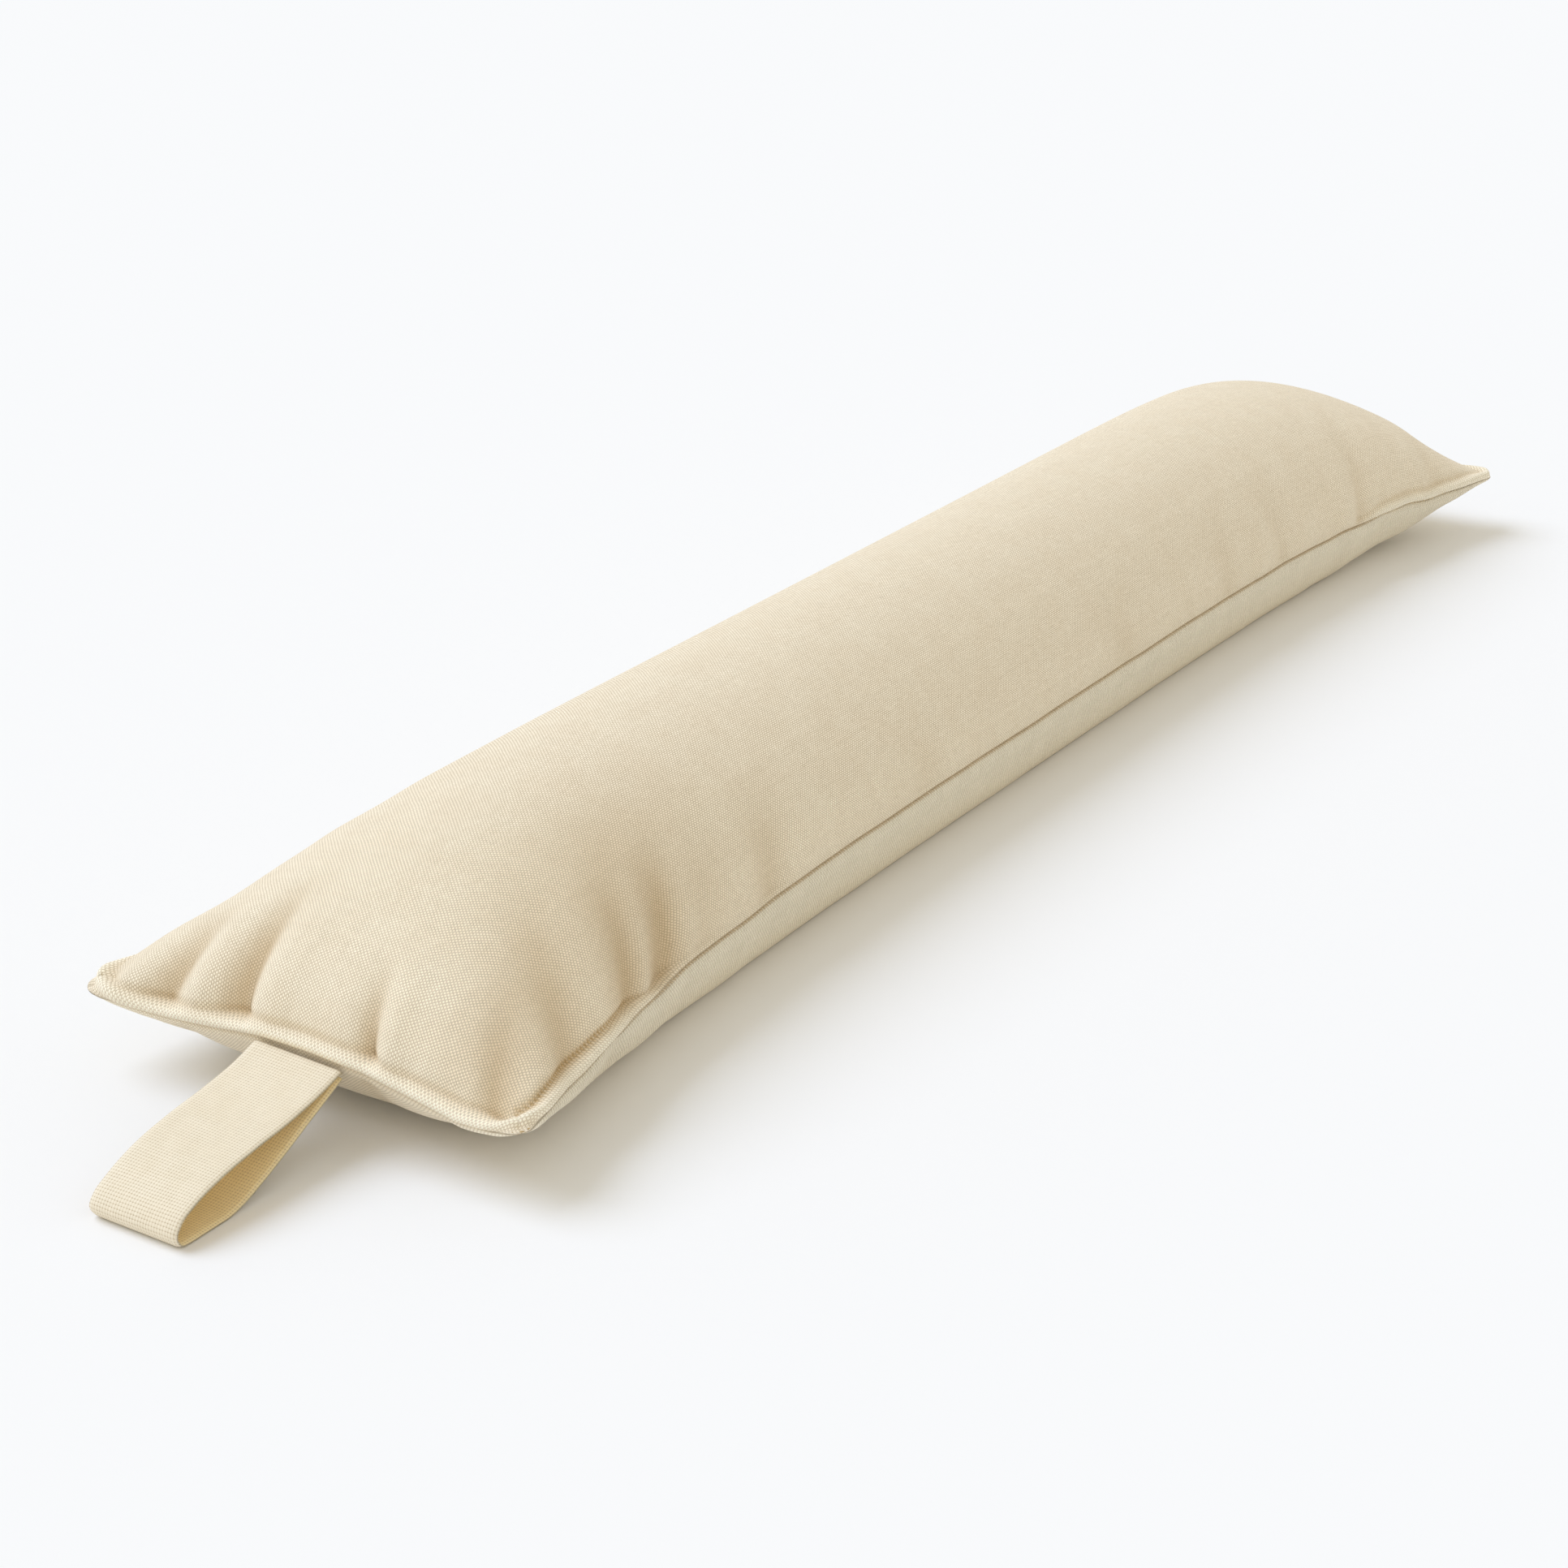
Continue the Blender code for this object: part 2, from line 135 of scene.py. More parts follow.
# Folds, one to a row, in millimetres. A fold starts from a seam, drifts towards +X or +Y over its
# reach, and is narrow at the seam and wide at its other end. A ridge has a negative depth.
foldColumns = ("panel", "seam", "at", "drift", "reach", "halfWidth", "depth")
folds = (
    # The end with the loop
    ("top", "near", 93, -14, 40, 5.5, 0.8),
    ("top", "near", 85, -13, 48, 6.0, -1.2),
    ("top", "near", 66, -12, 56, 4.4, 3.8),
    ("top", "near", 73, -18, 56, 7.0, 2.6),
    ("top", "near", 52, -8, 70, 7.0, -2.2),
    ("top", "near", 31, 0, 74, 4.2, 5.4),
    ("top", "near", 38, -4, 70, 6.6, 3.6),
    ("top", "near", 18, -2, 70, 8.0, -1.6),
    ("top", "near", -14, 0, 70, 11.0, -0.8),
    ("top", "near", -29, 5, 46, 3.5, 5.0),
    ("top", "near", -25, 5, 46, 4.6, 1.4),
    ("top", "near", -39, 8, 60, 6.5, -2.4),
    ("top", "near", -66, 14, 60, 8.0, 1.0),
    ("top", "near", -86, 30, 84, 10.0, 4.4),
    # The side towards the camera
    ("top", "right", -394, 40, 84, 12.0, 2.8),
    ("top", "right", -366, 30, 76, 11.0, -1.2),
    ("top", "right", -345, 24, 60, 6.5, 1.6),
    ("top", "right", -333, 26, 62, 6.0, -2.0),
    ("top", "right", -318, 28, 58, 6.5, 2.3),
    ("top", "right", -301, 22, 58, 8.0, -1.4),
    ("top", "right", -325, 16, 112, 50.0, 3.5),
    ("top", "right", -240, 16, 58, 12.0, 1.9),
    ("top", "right", -214, 10, 44, 10.0, -1.0),
    ("top", "right", -120, 6, 40, 14.0, 0.8),
    ("top", "right", 62, -4, 46, 15.0, 0.9),
    ("top", "right", 168, 0, 52, 11.0, 1.2),
    ("top", "right", 201, 1, 62, 10.0, -1.5),
    ("top", "right", 226, 4, 60, 9.0, 1.7),
    ("top", "right", 247, 4, 56, 8.0, -1.2),
    ("top", "right", 290, 24, 74, 9.5, -2.0),
    ("top", "right", 308, 26, 74, 8.0, 2.5),
    ("top", "right", 340, 14, 60, 11.0, -1.4),
    ("top", "right", 366, 12, 52, 8.5, -2.2),
    ("top", "right", 386, 8, 46, 8.0, 1.6),
    # The side away from the camera
    ("top", "left", -382, 20, 50, 12.0, 2.2),
    ("top", "left", -346, 16, 54, 9.0, -1.8),
    ("top", "left", -318, 10, 62, 9.0, 3.0),
    ("top", "left", -262, 10, 56, 12.0, 1.8),
    ("top", "left", -170, 6, 44, 12.0, 1.2),
    ("top", "left", -40, -4, 46, 14.0, 1.0),
    ("top", "left", 94, 2, 46, 12.0, 1.3),
    ("top", "left", 212, -8, 56, 10.0, 2.0),
    ("top", "left", 262, -10, 52, 9.0, -1.4),
    ("top", "left", 318, -22, 68, 9.0, 3.6),
    ("top", "left", 350, -20, 62, 9.0, -2.0),
    ("top", "left", 384, -26, 56, 10.0, 2.6),
    # The far end
    ("top", "far", 88, -12, 44, 6.5, 2.6),
    ("top", "far", 66, -16, 58, 8.0, -1.8),
    ("top", "far", 40, -8, 66, 8.5, 4.0),
    ("top", "far", 8, -2, 70, 12.0, -1.6),
    ("top", "far", -24, 4, 62, 7.5, 3.6),
    ("top", "far", -52, 10, 56, 9.0, -1.8),
    ("top", "far", -74, 14, 50, 7.0, 2.6),
    # The lower panel
    ("bottom", "near", 62, -8, 38, 9.0, 2.0),
    ("bottom", "near", 22, -2, 34, 8.0, -1.6),
    ("bottom", "near", -26, 4, 36, 7.0, 2.2),
    ("bottom", "near", -66, 8, 40, 9.0, 1.8),
    ("bottom", "far", 56, -6, 38, 9.0, 2.2),
    ("bottom", "far", -4, 0, 34, 9.0, 1.8),
    ("bottom", "far", -58, 6, 38, 9.0, 2.2),
    ("bottom", "right", -362, 12, 34, 10.0, 1.6),
    ("bottom", "right", 330, 8, 34, 9.0, 1.8),
    ("bottom", "left", -340, 10, 34, 10.0, 1.8),
    ("bottom", "left", 300, -8, 34, 10.0, 1.8),
)


def rowShares(total):
    edge = np.array(cushion["edgeRows"], dtype=float)
    span = total - 2 * edge[-1]
    count = int(round(span / cushion["step"]))
    middle = edge[-1] + span * np.arange(1, count) / count
    return np.concatenate([edge, middle, (total - edge)[::-1]]) / total


def roundedCorner(x, y):
    c = cushion
    overX = np.maximum(np.abs(x) - (c["length"] / 2 - c["cornerRadius"]), 0)
    overY = np.maximum(np.abs(y) - (c["cornerWidth"] / 2 - c["cornerRadius"]), 0)
    reach = np.maximum(overX, overY)
    away = np.hypot(overX, overY)
    scale = np.where(away > 0, reach / np.where(away > 0, away, 1), 1)
    newX = np.sign(x) * (np.abs(x) - overX + overX * scale)
    newY = np.sign(y) * (np.abs(y) - overY + overY * scale)
    return newX, newY


def plainForm(u, v, panel):
    c = cushion
    x, y = roundedCorner(u * c["length"] / 2, v * c["cornerWidth"] / 2)
    along = np.abs(x) / (c["length"] / 2)
    across = np.abs(y) / (c["cornerWidth"] / 2)
    y = y * (1 - 2 * c["sideDraw"] / c["cornerWidth"] * (1 - along ** c["sideDrawPower"]))
    x = x * (1 - 2 * c["endDraw"] / c["length"] * (1 - across ** c["endDrawPower"]))
    sideDrop = (c["seamHeightCorner"] - c["seamHeightSide"]) * np.abs(u) ** c["seamSidePower"]
    endDrop = (c["seamHeightCorner"] - c["seamHeightEnd"]) * np.abs(v) ** c["seamEndPower"]
    endShare = np.abs(u) ** c["endSharePower"]
    seam = (c["seamHeightSide"] + sideDrop) * (1 - endShare) + (c["seamHeightEnd"] + endDrop) * endShare
    wave = np.array(endSeamWave).T
    seam = seam + np.interp(y, wave[0], wave[1]) * np.maximum(-u, 0) ** c["endWavePower"]
    fromCorner = np.hypot((1 - np.abs(u)) * c["length"] / 2, (1 - np.abs(v)) * c["cornerWidth"] / 2)
    earSize = np.where(u < 0, c["earSizeNear"], c["earSizeFar"])
    ear = 1 - c["earFlatness"] * np.exp(-((fromCorner / earSize) ** 2))
    endFullness = np.clip(1 - np.abs(u) ** c["topEndPower"], 0, 1)
    sideFullness = np.clip(1 - np.abs(v) ** c["topSidePower"], 0, 1)
    if panel == "top":
        full = endFullness ** c["topEndRoot"] * sideFullness ** c["topSideRoot"] * ear
        z = seam + (c["crownHeight"] - seam) * full
    else:
        full = endFullness ** c["bottomEndRoot"] * sideFullness ** c["bottomSideRoot"] * ear
        z = seam - c["bottomDepth"] * full
    return np.stack([x, y, z], axis=-1)


def spreadAlong(u, v, shares, panel):
    # Slide the points of each line until they lie at the given shares of its length
    newU, newV = u.copy(), v.copy()
    rows = np.arange(len(u))
    fine = np.linspace(0, len(u) - 1, cushion["spreadSamples"])
    for line in range(u.shape[1]):
        fineU = np.interp(fine, rows, u[:, line])
        fineV = np.interp(fine, rows, v[:, line])
        points = plainForm(fineU, fineV, panel)
        run = np.concatenate([[0], np.cumsum(np.linalg.norm(np.diff(points, axis=0), axis=1))])
        newU[:, line] = np.interp(shares * run[-1], run, fineU)
        newV[:, line] = np.interp(shares * run[-1], run, fineV)
    return newU, newV


def panelGrid(panel):
    along = rowShares(cushion["panelLength"])
    across = rowShares(cushion["panelWidth"])
    u, v = np.meshgrid(along * 2 - 1, across * 2 - 1, indexing="ij")
    for _ in range(cushion["spreadPasses"]):
        u, v = spreadAlong(u, v, along, panel)
        turnedU, turnedV = spreadAlong(u.T, v.T, across, panel)
        u, v = turnedU.T, turnedV.T
    return u, v


def smoothShare(value, start, end):
    share = np.clip((value - start) / (end - start), 0, 1)
    return share * share * (3 - 2 * share)


# Corners that stick out further, in millimetres: place, move, size
earPulls = (
    ((-427, 98), (-5.5, 1.0, 6.5), 24),
    ((427, -98), (5.5, -1.5, 0.5), 24),
)

# The side seams rise and fall a little, less along the middle, in millimetres
sideWaver = {
    "waves": ((107, 0.5, 0.4), (58, 0.4, 1.9), (33, 0.25, 3.1)),    # length, height, start
    "across": (38, 66), "along": (200, 330), "inMiddle": 0.2, "moreAtEnds": 0.7,
}


def drawOut(points):
    # The ears are pulled out and the side seams waver
    for (x, y), move, size in earPulls:
        away = np.hypot(points[..., 0] - x, points[..., 1] - y)
        points = points + np.exp(-((away / size) ** 2))[..., None] * np.array(move)
    w = sideWaver
    atSide = smoothShare(np.abs(points[..., 1]), *w["across"])
    atSide = atSide * (w["inMiddle"] + w["moreAtEnds"] * smoothShare(np.abs(points[..., 0]), *w["along"]))
    for length, height, start in w["waves"]:
        points[..., 2] += height * np.sin(points[..., 0] * 2 * math.pi / length + start) * atSide
    return points


def seamDistances(points):
    along = np.linalg.norm(np.diff(points, axis=0), axis=2)
    across = np.linalg.norm(np.diff(points, axis=1), axis=2)
    near = np.concatenate([np.zeros((1, points.shape[1])), np.cumsum(along, axis=0)])
    right = np.concatenate([np.zeros((points.shape[0], 1)), np.cumsum(across, axis=1)], axis=1)
    return {"near": near, "far": near[-1:] - near, "right": right, "left": right[:, -1:] - right}


def surfaceNormals(points, panel):
    normals = np.cross(np.gradient(points, axis=0), np.gradient(points, axis=1))
    normals /= np.maximum(np.linalg.norm(normals, axis=2, keepdims=True), tiny)
    return normals if panel == "top" else -normals


def foldRelief(points, distances, panel):
    # Troughs at the ends are sharp at the bottom, and all other folds are round
    f = foldForm
    relief = np.zeros(points.shape[:2])
    starts = {"near": f["startEnds"], "far": f["startEnds"]}
    for row in folds:
        fold = dict(zip(foldColumns, row))
        if fold["panel"] != panel:
            continue
        up = np.clip(distances[fold["seam"]] / fold["reach"], 0, 1)
        place = points[..., 1] if fold["seam"] in starts else points[..., 0]
        centre = fold["at"] + fold["drift"] * up
        halfWidth = fold["halfWidth"] * (f["widthAtSeam"] + (f["widthAtEnd"] - f["widthAtSeam"]) * up)
        aside = ((place - centre) / halfWidth) ** 2
        sharp = fold["depth"] > 0 and fold["seam"] in starts
        form = np.exp(-((aside + f["troughBlunt"]) ** f["troughPower"])) if sharp else np.exp(-aside)
        begin = smoothShare(distances[fold["seam"]], 0, starts.get(fold["seam"], f["startSides"]))
        relief -= fold["depth"] * (1 - up ** 2) ** 2 * begin * form
    return relief


def ridgeShare(x):
    return smoothShare(-x, *seamForm["fadeNear"]) + smoothShare(x, *seamForm["fadeFar"])


def nearestSeams(distances):
    toSide = np.minimum(distances["right"], distances["left"])
    return toSide, np.minimum(distances["near"], distances["far"])


def seamRelief(points, distances, panel):
    # Height of the ridge and its crease, with a painted highlight on the ridge and painted shade in the
    # crease and the seam's groove; the lower panel gets painted light near its sides
    s = seamForm
    toSide, toEnd = nearestSeams(distances)
    toSeam = np.minimum(toSide, toEnd)
    turn = np.where(points[..., 0] < 0, *s["turnRadius"])
    lackSide = np.maximum(turn - toSide, 0)
    lackEnd = np.maximum(turn - toEnd, 0)
    toTurn = np.where(lackSide * lackEnd > 0, turn - np.hypot(lackSide, lackEnd), toSeam)
    share = ridgeShare(points[..., 0])
    narrow = s["narrowest"] + (1 - s["narrowest"]) * share
    aside = (toTurn - s["ridgeAt"] * narrow) / (s["ridgeHalfWidth"] * narrow)
    ridge = np.exp(-np.abs(aside) ** s["ridgeSquareness"])
    crease = np.exp(-((toTurn - s["creaseAt"] * narrow) / (s["creaseHalfWidth"] * narrow)) ** 2)
    onSide = toSide < toEnd
    edgeNear = s["edgeTintNear"] + s["edgeTintRight"] * smoothShare(-points[..., 1], *s["edgeRightFrom"])
    edgeTint = np.where(points[..., 0] < 0, edgeNear, s["edgeTintFar"])
    edgeTint = np.where(onSide, s["edgeTintSides"] - s["edgeTintLost"] * share, edgeTint)
    edge = np.exp(-((toSeam / s["edgeHalfWidth"]) ** 2)) * edgeTint
    if panel == "bottom":
        roll = np.exp(-(((toSide - s["rollAt"]) / s["rollHalfWidth"]) ** 2))
        roll = roll * smoothShare(toEnd, *s["rollFade"])
        relief = s["undersideShare"] * s["ridgeHeight"] * ridge * share + s["rollHeight"] * roll
        # painted light on the lower panel near the sides
        return relief, s["undersidePaintedLight"] * np.exp(-((toSide / s["undersideLightReach"]) ** 2)), edge
    atEnd = smoothShare(-points[..., 0], *s["creaseAlong"])
    towardsCamera = smoothShare(-points[..., 1], *s["creaseAcross"])
    deep = s["creaseLeast"] + (1 - s["creaseLeast"]) * atEnd * towardsCamera
    creaseDepth = s["creaseDepth"] * np.where(onSide, deep, s["creaseAtEnds"])
    relief = (s["ridgeHeight"] * ridge - creaseDepth * crease) * share
    # painted shade in the crease and along the seam's groove
    grooveShade = crease * share * np.where(onSide, deep, s["creaseTintAtEnds"]) + edge
    # a painted highlight along the ridge
    return relief, ridge * share, np.clip(grooveShade, 0, 1)


def ribLean(distances, panel):
    # Which threads stand out: those square to the nearest seam, as the cloth is pulled over it
    r = ribReach
    toSide, toEnd = nearestSeams(distances)
    if panel == "bottom":
        return np.exp(-((toSide / r["underside"]) ** 2)) * smoothShare(toEnd, *r["undersideFade"])
    atSides = r["share"] * np.exp(-((toSide / r["sides"]) ** 2))
    return atSides - r["share"] * np.exp(-((toEnd / r["ends"]) ** 2))


def seamLine(u, v):
    points = plainForm(u, v, "top")
    share = ridgeShare(points[..., 0])
    draw = seamForm["grooveSides"] * (1 - share) + seamForm["grooveEnds"] * share
    side = (np.abs(v) >= 1).astype(float)
    end = (np.abs(u) >= 1).astype(float)
    points[..., 1] -= np.sign(points[..., 1]) * draw * side
    points[..., 0] -= np.sign(points[..., 0]) * draw * end
    return points


# The corners of a face, in the order that turns it outwards
quadOrders = {"top": ((0, 0), (1, 0), (1, 1), (0, 1)), "bottom": ((0, 0), (0, 1), (1, 1), (1, 0))}


def panelNumbers(rows, columns):
    # The two panels share the points of the seam
    upper = np.arange(rows * columns).reshape(rows, columns)
    lower = upper.copy()
    inner = np.arange((rows - 2) * (columns - 2)).reshape(rows - 2, columns - 2)
    lower[1:-1, 1:-1] = rows * columns + inner
    return {"top": upper, "bottom": lower}


def quadCorners(grid, panel):
    rows, columns = grid.shape[:2]
    picks = [(slice(i, rows - 1 + i), slice(j, columns - 1 + j)) for i, j in quadOrders[panel]]
    return np.stack([grid[pick] for pick in picks], axis=2)


def panelPoints(panel):
    points = plainForm(*panelGrid(panel), panel)
    distances = seamDistances(points)
    relief, pale, grooveShade = seamRelief(points, distances, panel)
    foldHeight = foldRelief(points, distances, panel)
    relief = relief + foldHeight
    # painted shade in the troughs of the folds: deeper troughs are darker, up to a full shade, and there is
    # less towards the far end
    tintLost = foldForm["farTintLost"] * smoothShare(points[..., 0], *foldForm["farTintFrom"])
    paintedShade = np.clip(-foldHeight / foldForm["paintedShadeDepth"], 0, 1) * (1 - tintLost)
    points = points + surfaceNormals(points, panel) * relief[..., None]
    along = rowShares(cushion["panelLength"]) * 2 - 1
    across = rowShares(cushion["panelWidth"]) * 2 - 1
    onesAlong, onesAcross = np.ones(len(along)), np.ones(len(across))
    points[:, 0] = seamLine(along, -onesAlong)
    points[:, -1] = seamLine(along, onesAlong)
    points[0, :] = seamLine(-onesAcross, across)
    points[-1, :] = seamLine(onesAcross, across)
    points = drawOut(points)
    points[..., 2] = np.maximum(points[..., 2], 0)
    lean = ribLean(distances, panel)
    return points, {"paintedLightShare": pale, "grooveShadeShare": grooveShade, "paintedShadeShare": paintedShade, "ribLean": lean}


def clothObject(name, points, faces, uvs, tones):
    # The cloth's own coordinates are in metres, one pair for each corner of a face
    mesh = bpy.data.meshes.new(name)
    mesh.from_pydata(points.tolist(), [], faces)
    mesh.uv_layers.new(name="clothCoordinates").data.foreach_set("uv", uvs.ravel())
    for tone, values in tones.items():
        mesh.attributes.new(tone, "FLOAT", "POINT").data.foreach_set("value", values.astype(np.float32))
    mesh.shade_smooth()
    return newObject(name, mesh)


def makeCushion():
    (top, topTones), (bottom, bottomTones) = panelPoints("top"), panelPoints("bottom")
    numbers = panelNumbers(*top.shape[:2])
    points = np.concatenate([top.reshape(-1, 3), bottom[1:-1, 1:-1].reshape(-1, 3)]) * mm
    quads, corners = [], []
    shareU = rowShares(cushion["panelLength"]) * cushion["panelLength"] * mm
    shareV = rowShares(cushion["panelWidth"]) * cushion["panelWidth"] * mm
    clothU, clothV = np.meshgrid(shareU, shareV, indexing="ij")
    cloth = np.stack([clothU, clothV], axis=-1)
    for panel, shift in (("top", 0.0), ("bottom", cushion["lowerClothShift"])):
        quads.append(quadCorners(numbers[panel], panel).reshape(-1, 4))
        corners.append(quadCorners(cloth + (0, shift), panel).reshape(-1, 4, 2))
    quads, corners = np.concatenate(quads), np.concatenate(corners)
    tones = {
        name: np.concatenate([topTones[name].ravel(), bottomTones[name][1:-1, 1:-1].ravel()])
        for name in topTones
    }
    return clothObject("cushion_cover", points, quads.tolist(), corners, tones)


# The folded strip of webbing, in millimetres
webbing = {
    "width": 40, "thickness": 1.6, "middleY": 1.5, "steps": 150, "columns": 22,
    "edgeRound": 0.7, "edgeThickness": 0.35,
    "innerClothShift": 50,                    # of the inner face's cloth coordinates
    "flatLength": 0.187,                      # in metres
    # distance past the end seam, height of the left edge, height of the right edge
    "path": (
        (2.2, 30.0, 28.9), (13, 26.5, 25.7), (30, 23.4, 22.2), (48, 21.1, 20.0), (66, 17.3, 16.9),
        (78, 12.6, 13.2), (84.8, 8.6, 9.4), (87.2, 4.9, 5.3), (85.6, 1.7, 1.8), (81, 0.8, 0.8),
        (72, 0.8, 0.8), (63, 0.9, 0.8), (55, 2.8, 2.5), (45, 6.7, 6.3), (33, 12.3, 11.6),
        (21, 18.2, 17.4), (10, 23.6, 22.6), (2.2, 27.4, 26.4),
    ),
}


def loopLine():
    path = np.array(webbing["path"], dtype=float)
    steps = np.concatenate([[0], np.cumsum(np.hypot(*np.diff(path[:, :2], axis=0).T))])
    places = np.linspace(0, steps[-1], webbing["steps"] + 1)
    slopes = np.gradient(path, steps, axis=0)
    start = np.clip(np.searchsorted(steps, places, side="right") - 1, 0, len(steps) - 2)
    span = steps[start + 1] - steps[start]
    t = ((places - steps[start]) / span)[:, None]
    span = span[:, None]
    line = (
        (2 * t ** 3 - 3 * t ** 2 + 1) * path[start]
        + (t ** 3 - 2 * t ** 2 + t) * span * slopes[start]
        + (3 * t ** 2 - 2 * t ** 3) * path[start + 1]
        + (t ** 3 - t ** 2) * span * slopes[start + 1]
    )
    line[:, 1:] = np.maximum(line[:, 1:], webbing["thickness"] / 2)
    endSeamX = -(cushion["length"] / 2 - cushion["endDraw"])
    x = endSeamX - line[:, 0]
    return np.stack([x, line[:, 1]], axis=1), np.stack([x, line[:, 2]], axis=1)


def makeWebbing():
    # Rings of points round the strip's section, swept along the loop
    left, right = loopLine()
    half = webbing["width"] / 2
    thick = webbing["thickness"] / 2
    across = np.linspace(-1, 1, webbing["columns"])
    edge = np.minimum((1 - np.abs(across)) * half / webbing["edgeRound"], 1)
    profile = webbing["edgeThickness"] + (1 - webbing["edgeThickness"]) * np.sqrt(1 - (1 - edge) ** 2)
    share = (across[:, None] + 1) / 2
    middle = right[None] * (1 - share[..., None]) + left[None] * share[..., None]
    tangent = np.gradient(middle, axis=1)
    tangent /= np.linalg.norm(tangent, axis=2, keepdims=True)
    outward = np.stack([tangent[..., 1], -tangent[..., 0]], axis=-1)
    run = np.concatenate([[0], np.cumsum(np.linalg.norm(np.diff(middle.mean(0), axis=0), axis=1))])
    y = webbing["middleY"] + across * half
    rings, uvs, inside = [], [], []
    for side, order in ((1, slice(None)), (-1, slice(None, None, -1))):
        inside += [float(side < 0)] * (len(across) * len(run))
        offset = middle + outward * (thick * profile[:, None, None] * side)
        offset[..., 1] = np.maximum(offset[..., 1], 0)
        for k in range(len(across))[order]:
            rings.append(np.stack([offset[k, :, 0], np.full(len(run), y[k]), offset[k, :, 1]], axis=-1))
            clothV = (across[k] + 1) * half + webbing["innerClothShift"] * (side < 0)
            uvs.append(np.stack([run, np.full(len(run), clothV)], axis=-1))
    rings, uvs = np.stack(rings) * mm, np.stack(uvs) * mm
    count, steps = rings.shape[:2]
    number = np.arange(count * steps).reshape(count, steps)
    turn = np.roll(number, -1, axis=0)
    quads = np.stack([number[:, :-1], turn[:, :-1], turn[:, 1:], number[:, 1:]], axis=-1).reshape(-1, 4)
    faces = quads.tolist() + [number[::-1, 0].tolist(), number[:, -1].tolist()]
    corners = uvs.reshape(-1, 2)[np.concatenate(faces)]
    # painted shade on the inner face of the folded strip, in the warm colour of the shade between its layers
    tones = {"paintedShadeShare": np.array(inside)}
    return clothObject("webbing_strip", rings.reshape(-1, 3), faces, corners, tones)


def newGroup(name, inputs, outputs):
    tree = bpy.data.node_groups.new(name, "ShaderNodeTree")
    for direction, sockets in (("INPUT", inputs), ("OUTPUT", outputs)):
        for socket, kind in sockets:
            tree.interface.new_socket(name=socket, in_out=direction, socket_type=kind)
    return tree


class Wiring:
    # Short ways to add nodes to a tree and join them
    def __init__(self, tree):
        self.tree = tree

    def node(self, kind, **settings):
        made = self.tree.nodes.new(kind)
        for name, value in settings.items():
            setattr(made, name, value)
        return made

    def feed(self, socket, value):
        if isinstance(value, bpy.types.NodeSocket):
            self.tree.links.new(value, socket)
        else:
            socket.default_value = value

    def math(self, operation, *values):
        made = self.node("ShaderNodeMath", operation=operation)
        for socket, value in zip(made.inputs, values):
            self.feed(socket, value)
        return made.outputs[0]

    def blend(self, share, first, second, kind="RGBA", mode="MIX"):
        made = self.node("ShaderNodeMix", data_type=kind)
        places = {"RGBA": (6, 7, 2), "FLOAT": (2, 3, 0)}[kind]
        if kind == "RGBA":
            made.blend_type = mode
        self.feed(made.inputs[0], share)
        self.feed(made.inputs[places[0]], first)
        self.feed(made.inputs[places[1]], second)
        return made.outputs[places[2]]

    def ramp(self, value, low, high, start=0.0, end=1.0):
        made = self.node("ShaderNodeMapRange", interpolation_type="SMOOTHSTEP")
        for socket, given in zip(made.inputs, (value, low, high, start, end)):
            self.feed(socket, given)
        return made.outputs[0]

    def noise(self, vector, scale, detail=2.0, roughness=0.5):
        made = self.node("ShaderNodeTexNoise")
        self.feed(made.inputs["Vector"], vector)
        self.feed(made.inputs["Scale"], scale)
        made.inputs["Detail"].default_value = detail
        made.inputs["Roughness"].default_value = roughness
        return made.outputs["Fac"]

    def white(self, value):
        made = self.node("ShaderNodeTexWhiteNoise", noise_dimensions="1D")
        self.feed(made.inputs["W"], value)
        return made.outputs["Value"]

    def join(self, x, y, z=0.0):
        made = self.node("ShaderNodeCombineXYZ")
        for socket, value in zip(made.inputs, (x, y, z)):
            self.feed(socket, value)
        return made.outputs[0]


# Plain weave as a node group: threads over and under each other, with their height, their tone, which holds a
# painted light that differs between warp and weft, and their pits, which take a painted shade
weaveForm = {
    "wanderScales": (90.0, 70.0), "wanderOffset": 3.0, "wanderReach": 6.0,
    "floatLength": 1.5,                       # above 1 a thread stays up for longer than a plain wave
    "slubPlaces": (7.31, 0.16), "slubWidth": (0.3, 0.85),
    # pits: between these heights the painted shade in the pits between the threads fades out
    "overHeight": 0.36, "roundHeight": 0.62, "meeting": 0.08, "pits": (0.16, 0.84),
    "toneChance": 0.16, "toneSlub": (0.5, 0.17), "toneSeed": 0.37,
}


